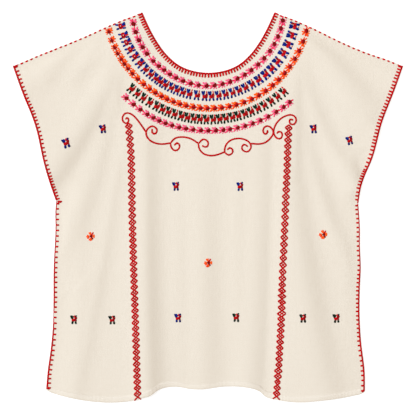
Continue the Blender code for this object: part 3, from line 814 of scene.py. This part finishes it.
FIGURE = charted(
    (-6.5, 6.7, -4.7, 0.8, 2.7, 0.4), (-2.4, 6.9, -3.9, 0.4, 2.8, 0.6), (-4.4, 3.4, -4.2, 0.0, 2.8, 0.3),
    (1.2, 6.9, 1.3, 3.6, 1.8, 0.9, "red"), (-5.1, -1.1, -1.4, -1.0, 2.4, 0.6, "red"),
    (-5.2, -2.4, -1.6, -2.4, 2.4, 0.6, "red"), (-5.0, -3.6, -1.4, -3.7, 2.3, 0.6, "red"),
    (-1.1, 0.7, -0.9, -4.1, 2.5, 1.0, "deep"), (0.6, 2.7, 0.7, -4.1, 2.3, 0.1, "red"),
    (2.2, 2.5, 1.9, -3.9, 2.2, 0.3, "red"), (-4.2, -4.6, -5.4, -9.1, 2.7, 0.4),
    (0.4, -4.6, 1.4, -9.1, 2.7, 0.3),
)
FLOWER = charted(
    (-3.4, -0.1, 1.7, 3.4, 2.4, 0.6, "heart"), (-3.9, -0.9, 2.6, 1.8, 2.5, 0.4, "heart"),
    (-3.5, -1.7, 2.9, 0.1, 2.5, 0.4, "deep"), (-1.6, -2.7, 1.9, -1.5, 2.3, 0.5, "deep"),
    (-2.9, 2.0, -6.8, 5.3, 2.6, 0.9), (-2.1, 2.5, -1.3, 5.8, 2.5, 0.9), (-2.8, 2.3, -4.0, 5.0, 2.6, 1.0),
    (-3.9, -0.2, -7.8, 0.3, 2.1, 0.1), (-3.8, -1.2, -8.5, -4.4, 2.4, 0.5),
    (-3.6, -0.7, -6.2, -1.8, 2.4, 0.3), (-1.6, -3.1, -2.8, -5.3, 2.0, 1.0),
    (0.7, -3.1, 2.1, -5.2, 2.0, 1.0), (3.3, 0.4, 6.6, -0.2, 2.1, 0.0),
    (3.1, 1.0, 5.6, 0.7, 1.7, 1.0, "red"),
)
# Towards the shoulders the same motifs are worked broader or longer.
LEFT_FIGURE = charted(
    (-7.0, 6.6, -3.9, 1.2, 3.1, 0.7), (-4.2, 6.9, -3.2, 0.8, 2.9, 0.4),
    (-1.2, 6.6, -1.2, 2.8, 1.9, 1.0, "red"), (2.4, 6.4, 1.4, 1.2, 2.5, 0.4),
    (-6.2, 0.3, 0.8, 0.9, 2.7, 0.6, "red"), (-5.7, 0.8, -5.3, -3.8, 2.9, 0.5, "red"),
    (-6.2, -3.7, 1.3, -3.4, 2.5, 0.4, "red"), (-0.7, 1.4, 0.4, -4.2, 2.9, 0.9, "deep"),
    (1.0, 0.8, 1.8, -3.2, 2.0, 0.6, "red"), (-5.0, -4.6, -6.5, -9.0, 2.8, 0.7),
    (0.7, -4.6, 1.3, -9.1, 2.8, 0.5),
)
RIGHT_FIGURE = charted(
    (-6.6, 7.0, -5.0, 1.2, 3.3, 0.4), (-2.8, 7.0, -3.9, 1.2, 3.4, 0.6), (-4.5, 4.2, -4.3, 0.4, 3.2, 0.3),
    (2.4, 6.9, 1.3, 3.0, 3.2, 0.7), (1.2, 4.8, 0.6, 0.2, 3.3, 0.8, "deep"),
    (-7.4, -0.9, 2.6, -0.9, 2.7, 0.6, "red"), (-7.6, -2.3, 2.8, -2.3, 2.8, 0.7, "red"),
    (-7.0, -3.4, 2.4, -3.4, 2.7, 0.5, "red"), (-2.2, -0.4, -2.0, -3.7, 3.2, 0.9, "deep"),
    (-5.4, -3.8, -7.0, -9.4, 3.4, 0.5), (0.6, -3.8, 1.5, -9.4, 3.4, 0.5),
    (-2.9, -7.8, -2.9, -8.8, 2.2, 1.0, "red"),
)
BROAD_FLOWER = charted(
    (-3.0, 0.6, 1.4, 3.2, 2.6, 0.5, "heart"), (-3.4, -0.4, 3.0, 1.9, 2.6, 0.4, "heart"),
    (-3.2, -1.3, 3.1, 0.3, 2.5, 0.4, "deep"), (-2.0, -2.4, 2.6, -1.3, 2.4, 0.5, "deep"),
    (-3.2, 2.3, -7.6, 5.6, 2.6, 0.8), (-2.4, 2.9, -2.4, 6.0, 2.4, 0.8), (1.6, 3.7, 2.6, 5.4, 1.8, 0.6),
    (-4.0, 0.0, -8.5, 0.2, 2.0, 0.1), (-4.0, -1.0, -7.6, -2.0, 1.8, 0.3),
    (-3.6, -1.9, -8.2, -4.3, 2.3, 0.6), (-2.0, -3.2, -3.0, -5.6, 2.0, 0.9),
    (0.4, -3.3, 1.6, -5.7, 2.0, 0.9), (3.6, 0.6, 6.8, 0.7, 1.9, 0.1),
)
FULL_FLOWER = BROAD_FLOWER + charted(
    (-2.2, 3.0, -2.8, 7.2, 2.0, 0.6), (3.2, -1.5, 6.6, -3.7, 1.9, 0.5),
)
LONG_FLOWER = charted(
    (-5.6, -0.8, -2.8, -0.3, 1.8, 0.4, "red"), (2.6, 0.2, 5.2, 0.6, 1.8, 0.3, "red"),
    (-1.7, 1.9, 1.0, 2.2, 2.2, 0.6, "heart"), (-2.8, 0.6, 2.4, 0.8, 2.4, 0.8, "deep"),
    (-2.6, -0.8, 2.2, -0.7, 2.4, 0.3, "deep"), (-1.3, -2.1, 1.1, -2.0, 2.1, 0.5, "deep"),
    (-2.5, 2.8, -6.2, 5.6, 2.4, 0.8), (-1.2, 3.1, -1.9, 6.4, 2.4, 0.7), (1.6, 2.8, 3.1, 5.2, 1.9, 0.6),
    (-3.2, 0.9, -6.4, 1.6, 2.0, 0.2), (-2.8, -2.3, -5.7, -4.7, 2.1, 0.6),
    (-0.8, -3.0, -1.2, -5.9, 2.1, 0.6), (1.5, -2.6, 3.0, -5.0, 2.0, 0.7),
)


def work_motif(chart, own, heart, middle, turn, scale, sewn):
    """Adds one motif's stitches to sewn, a list for each floss."""
    c, s = math.cos(turn) * scale * MM, math.sin(turn) * scale * MM
    for row in chart:
        lap = MOTIF_LAP / math.hypot(row.x2 - row.x1, row.y2 - row.y1)
        over_x, over_y = lap * (row.x2 - row.x1), lap * (row.y2 - row.y1)
        ends = []
        for x, y in ((row.x1 - over_x, row.y1 - over_y), (row.x2 + over_x, row.y2 + over_y)):
            x, y = near(x, MOTIF_STRAY), near(y, MOTIF_STRAY)
            ends.append((middle[0] + c * x - s * y, middle[1] + s * x + c * y))
        colour = {"own": own, "heart": heart}.get(row.floss, row.floss)
        width = near(row.width, WIDTH_STRAY) * SPREAD * scale * MM
        sewn.setdefault(colour, []).append(Stitch(ends[0], ends[1], width, tone_near(row.tone)))


def sew_all(name, sewn):
    for colour, stitches in sewn.items():
        sew(name + "_" + colour, stitches, colour)


# A ring bends about its own centre, at x and y. left, middle and right are the charts of its three
# stretches. radii are in millimetres at even steps from its left end to its right, and turns is where
# each motif stands, in degrees from straight down.
Ring = namedtuple("Ring", "name left middle right own heart scale x y radii turns")
RINGS = [
    Ring(
        "inner_pink_flowers", BROAD_FLOWER, FLOWER, BROAD_FLOWER, "pink", "deep", 1.0, 0.0, 0.3229,
        [124.4, 122.8, 121.3, 122.5, 123.5, 122.9, 121.2, 121.2, 123.9],
        [-79.9, -73.4, -66.7, -60.7, -54.7, -47.2, -41.4, -36.2, -30.6, -25.1, -19.3, -13.1, -6.9, -0.8,
         5.3, 11.5, 17.6, 23.7, 30.0, 36.2, 43.2, 49.8, 57.1, 63.3, 69.8, 76.4, 82.6],
    ),
    Ring(
        "blue_figures", LEFT_FIGURE, FIGURE, RIGHT_FIGURE, "blue", "deep", 1.0, 0.0, 0.3307,
        [145.9, 144.7, 145.2, 146.2, 146.8, 147.0, 146.5, 145.0, 144.2],
        [-76.0, -69.8, -64.9, -59.8, -54.4, -48.8, -43.9, -39.4, -35.1, -31.5, -27.7, -23.5, -19.5, -15.5,
         -11.3, -6.3, -1.4, 2.9, 7.4, 11.9, 16.5, 20.9, 25.3, 30.0, 35.3, 40.9, 46.4, 52.2, 58.8, 65.2,
         71.6, 77.9],
    ),
    Ring(
        "orange_flowers", LONG_FLOWER, FLOWER, FULL_FLOWER, "orange", "red", 1.0, 0.0, 0.3295,
        [167.5, 165.3, 165.6, 166.4, 167.2, 167.8, 167.6, 166.5, 166.4],
        [-75.6, -70.5, -66.1, -62.4, -58.7, -55.4, -52.0, -48.2, -44.0, -39.4, -35.1, -31.2, -27.2, -23.6,
         -19.7, -15.8, -12.0, -8.0, -4.0, -0.1, 4.0, 8.0, 12.4, 16.3, 20.9, 25.5, 30.0, 34.5, 39.5, 44.2,
         49.1, 53.8, 59.0, 64.1, 69.9, 76.1],
    ),
    Ring(
        "green_figures", FIGURE, FIGURE, FIGURE, "green", "deep", 1.0, -0.0007, 0.3277,
        [181.0, 180.7, 181.4, 181.9, 182.1, 182.6, 183.3, 184.0, 184.7],
        [-42.7, -38.7, -34.9, -30.8, -26.8, -23.4, -20.0, -16.6, -13.1, -9.9, -6.6, -3.4, -0.1, 3.4, 6.7,
         9.9, 13.2, 16.4, 19.9, 23.3, 27.0, 30.7, 34.6, 38.6, 42.7],
    ),
    Ring(
        "outer_pink_flowers", FLOWER, FLOWER, FLOWER, "pink", "deep", 0.97, 0.0026, 0.3279,
        [201.6, 203.1, 202.9, 202.2, 202.0, 202.4, 203.0, 203.3, 203.7],
        [-42.4, -38.0, -34.0, -30.1, -26.9, -23.8, -20.7, -17.5, -14.1, -10.9, -7.5, -3.9, -0.4,
         3.1, 6.6, 9.7, 13.3, 16.9, 20.6, 24.5, 28.4, 32.7, 36.8, 40.4],
    ),
]
LEFT_FLANK, RIGHT_FLANK = -48, 33  # degrees, where a ring's left stretch ends and its right one starts
for ring in RINGS:
    sewn = {}
    radii = Line([(k, radius) for k, radius in enumerate(ring.radii)])
    for k, degrees in enumerate(ring.turns):
        turn, radius = math.radians(degrees), radii.at(k / (len(ring.turns) - 1))[1] * MM
        middle = (ring.x + radius * math.sin(turn), ring.y - radius * math.cos(turn))
        chart = ring.left if degrees < LEFT_FLANK else ring.right if degrees > RIGHT_FLANK else ring.middle
        work_motif(chart, ring.own, ring.heart, middle, turn, ring.scale, sewn)
    sew_all(ring.name, sewn)

# ---- Scattered motifs
# Twelve figures and three flowers worked singly on the body and the sleeves, in the flosses of the
# rings but after charts of their own.
LONE_FIGURE = charted(
    (-5.2, 6.1, -2.4, 1.0, 2.7, 0.1), (-2.9, 6.4, -1.3, 2.3, 2.2, 1.0),
    (-0.6, 5.4, -0.6, 4.2, 1.8, 0.3, "deep"), (1.5, 6.6, 1.1, 3.7, 1.7, 1.0, "red"),
    (4.2, 6.9, 2.8, 4.1, 2.4, 0.0), (1.6, 3.6, 5.0, 2.9, 2.3, 1.0, "deep"),
    (1.3, 2.0, 4.8, 1.5, 2.3, 0.9, "deep"), (-3.3, 0.2, 2.3, 0.4, 2.3, 0.6, "red"),
    (-3.4, -1.2, 2.3, -1.1, 2.3, 0.5, "red"), (-2.9, -2.5, 0.2, -2.1, 2.2, 1.0, "deep"),
    (2.6, 1.3, 3.1, -3.3, 2.7, 0.7, "deep"), (-2.0, -3.1, -2.5, -6.9, 3.0, 0.2),
    (2.8, -3.1, 3.6, -6.9, 3.0, 0.2),
)
LONE_FLOWER = charted(
    (-0.6, 2.5, -3.3, 6.0, 2.1, 0.7), (-0.1, 2.8, -0.7, 6.9, 2.1, 0.5), (-2.5, 0.2, -6.3, 1.6, 2.1, 0.6),
    (-2.5, -0.4, -6.9, -0.8, 2.0, 0.4), (-2.5, -0.9, -5.1, -3.4, 2.1, 0.3),
    (-0.4, -2.9, -3.1, -6.3, 2.1, 0.3), (0.1, -3.1, -1.2, -7.1, 2.0, 0.5), (0.5, -3.0, 0.9, -6.6, 2.0, 0.7),
    (3.4, 0.8, 5.9, 2.3, 2.0, 0.8), (3.6, 0.1, 6.5, 0.2, 2.0, 1.0), (3.4, -0.7, 5.8, -2.1, 2.0, 0.6),
    (0.9, 1.0, 4.0, 6.1, 2.1, 0.9, "red"), (-1.2, 0.0, 2.4, 0.3, 2.7, 0.3, "deep"),
    (0.2, 1.3, 1.9, 1.6, 2.4, 0.5, "deep"), (0.5, -0.8, 3.3, -4.6, 2.2, 0.9, "deep"),
)
Single = namedtuple("Single", "x y tilt scale", defaults=(0, 1.0))  # in millimetres and degrees
sewn = {}
for chart, own, singles in (
    (LONE_FIGURE, "blue", [
        Single(-232.7, 105.4, 14, 1.12), Single(-172.6, 128.8, 6), Single(173.1, 128.8, 4),
        Single(232.2, 109.9, 12), Single(-52.8, 34.8), Single(52.5, 34.5), Single(-49.2, -181.3),
    ]),
    (LONE_FIGURE, "green", [
        Single(-219.9, -183.8), Single(-157.5, -184.3), Single(45.9, -180.5), Single(155.6, -181.8),
        Single(210.5, -181.8),
    ]),
    (LONE_FLOWER, "orange", [Single(-192.3, -47.3), Single(189.2, -44.3), Single(0.5, -90.7)]),
):
    for single in singles:
        tilt = math.radians(single.tilt)
        work_motif(chart, own, "deep", (single.x * MM, single.y * MM), tilt, single.scale, sewn)
sew_all("scattered_motifs", sewn)

# ---- Scroll
# A line of curls under the rings in stem stitch: short slanted stitches of red floss, each laid
# half over the last. Places are in millimetres.
SCROLL_WIDTH, SCROLL_STITCH, SCROLL_PITCH = 0.0031, 0.0058, 0.0026
SCROLL_SLANT, SCROLL_TONE = 0.14, 0.6
SCROLL = [
    [(-135.9, 144.6), (-132.6, 148.3), (-129.5, 143.9), (-133.9, 137.0), (-140.8, 143.9), (-135.2, 155.2),
     (-127.0, 153.9), (-117.0, 145.2), (-109.5, 135.2), (-101.9, 123.9)],
    [(-91.4, 129.2), (-92.6, 125.0), (-88.3, 119.8), (-83.0, 126.4), (-90.6, 133.9), (-99.4, 128.8),
     (-101.9, 122.6), (-96.8, 111.3), (-86.8, 105.7), (-76.8, 104.0), (-61.7, 105.7)],
    [(-61.7, 105.7), (-54.2, 113.7), (-42.8, 115.7), (-29.0, 113.2), (-15.6, 105.0)],
    [(-61.7, 105.7), (-61.0, 99.9), (-53.5, 92.7), (-45.9, 99.9), (-50.4, 106.8), (-55.5, 101.9)],
    [(-15.3, 105.0), (-7.7, 112.6), (1.0, 106.3), (-3.3, 98.1), (-9.7, 101.9)],
    [(-15.6, 105.0), (-15.3, 98.8), (-9.0, 89.3), (4.9, 85.0), (18.2, 87.5), (27.1, 91.2)],
    [(27.1, 91.2), (33.3, 85.5), (41.5, 91.9), (35.8, 98.8), (31.5, 94.4)],
    [(27.1, 91.2), (27.7, 98.8), (34.6, 108.8), (47.1, 113.2), (60.9, 111.3), (68.4, 106.3), (71.1, 99.9),
     (63.5, 90.6), (54.6, 97.5), (59.7, 104.4), (65.3, 99.4)],
    [(69.7, 105.2), (82.2, 104.0), (93.5, 106.3), (102.4, 113.9), (107.5, 122.6), (103.7, 130.8),
     (96.2, 134.1), (89.8, 127.7), (93.5, 119.5), (98.0, 122.6), (97.3, 127.0)],
    [(112.4, 121.3), (117.5, 125.7), (122.4, 118.8), (117.5, 111.9), (109.9, 116.3), (107.5, 122.6),
     (109.9, 133.9), (118.6, 145.2), (131.3, 151.5), (137.5, 152.1), (144.4, 146.4), (143.8, 139.0),
     (138.8, 135.2), (132.6, 140.8), (135.7, 145.9), (139.5, 142.6)],
]


def stem_stitch(line):
    """Stitches along a curl, none of them squeezed up at its end."""
    made = []
    for share in np.arange(0, line.length, SCROLL_PITCH) / line.length:
        first, last = line.at(share), line.at(min(share + SCROLL_STITCH / line.length, 1.0))
        if np.linalg.norm(last - first) > SCROLL_PITCH / 2:
            slant = line.way(share)[::-1] * (-1, 1) * SCROLL_WIDTH * SCROLL_SLANT
            made.append(Stitch(first - slant, last + slant, SCROLL_WIDTH, tone_near(SCROLL_TONE)))
    return made


curls = sum((stem_stitch(Line(from_mm(*stretch))) for stretch in SCROLL), [])
sew("scroll", curls)

# ---- Randas
# The strips that join the webs: a chain of diamonds in red floss over each join, every diamond with
# its four sides and two stitches crossed inside it, which leave four small holes.
RANDA_HALF = 0.0056  # from a diamond's middle to its left and right corners
RANDA_SIDE, RANDA_CROSS = 0.0032, 0.0024  # the width of the floss along its sides and across it
RANDA_LAP = 0.0006  # a stitch runs on this far past the corner it ends at
RANDA_EVEN, RANDA_SLIP = 0.0002, 0.0011  # how far a worker's hand strays, and where the work slipped
RANDA_TONE = 0.5

# A run is so many diamonds of one height in millimetres. The last run's last one ends at the hem.
# slips are the shares of the strip where the diamonds are muddled, and skew is how much higher each
# diamond's right corner stands than its middle.
Run = namedtuple("Run", "diamonds height")
LEFT_RUNS = [Run(1, 9.4), Run(15, 10.57), Run(16, 9.62), Run(13.5, 9.76)]
RIGHT_RUNS = [Run(10, 10.10), Run(14, 11.19), Run(20.5, 9.40)]


def randa(name, join, top, runs, skew, slips):
    """Works a randa's diamonds down a join, from the place where it is as high as top."""
    heights = np.concatenate([np.full(math.ceil(run.diamonds), run.height * MM) for run in runs])
    first = float(np.interp(-top, -join.points[:, 1], join.shares))
    places = first + np.concatenate([[0], np.cumsum(heights)]) / join.length
    whole = join.at(np.minimum(places, 1))
    made = []
    for k, place in enumerate(places[:-1]):
        stray = RANDA_SLIP if any(low < place < high for low, high in slips) else RANDA_EVEN
        upper, lower = whole[k], whole[k + 1]
        middle = upper + join.way(place) * heights[k] / 2
        half = np.array([near(RANDA_HALF, stray), near(skew, stray)])
        left, right = middle - half, middle + half
        sides = [(upper, left, RANDA_SIDE), (upper, right, RANDA_SIDE)]
        if places[k + 1] < 1:
            sides += [(left, lower, RANDA_SIDE), (right, lower, RANDA_SIDE)]
            sides += [((upper + left) / 2, (right + lower) / 2, RANDA_CROSS)]
            sides += [((upper + right) / 2, (left + lower) / 2, RANDA_CROSS)]
        for start, end, width in sides:
            lap = (end - start) / np.linalg.norm(end - start) * RANDA_LAP
            shift = np.array([near(0, stray / 2), near(0, stray / 2)])
            made.append(Stitch(start - lap + shift, end + lap + shift, width, tone_near(RANDA_TONE)))
    piece = sew(name + "_floss", made)
    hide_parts(name)


RIGHT_SLIPS = [(0.695, 0.735), (0.758, 0.776), (0.890, 0.946)]
randa("left_randa", left_join, top=0.1380, runs=LEFT_RUNS, skew=0.0011, slips=[])
randa("right_randa", right_join, top=0.1354, runs=RIGHT_RUNS, skew=-0.0007, slips=RIGHT_SLIPS)
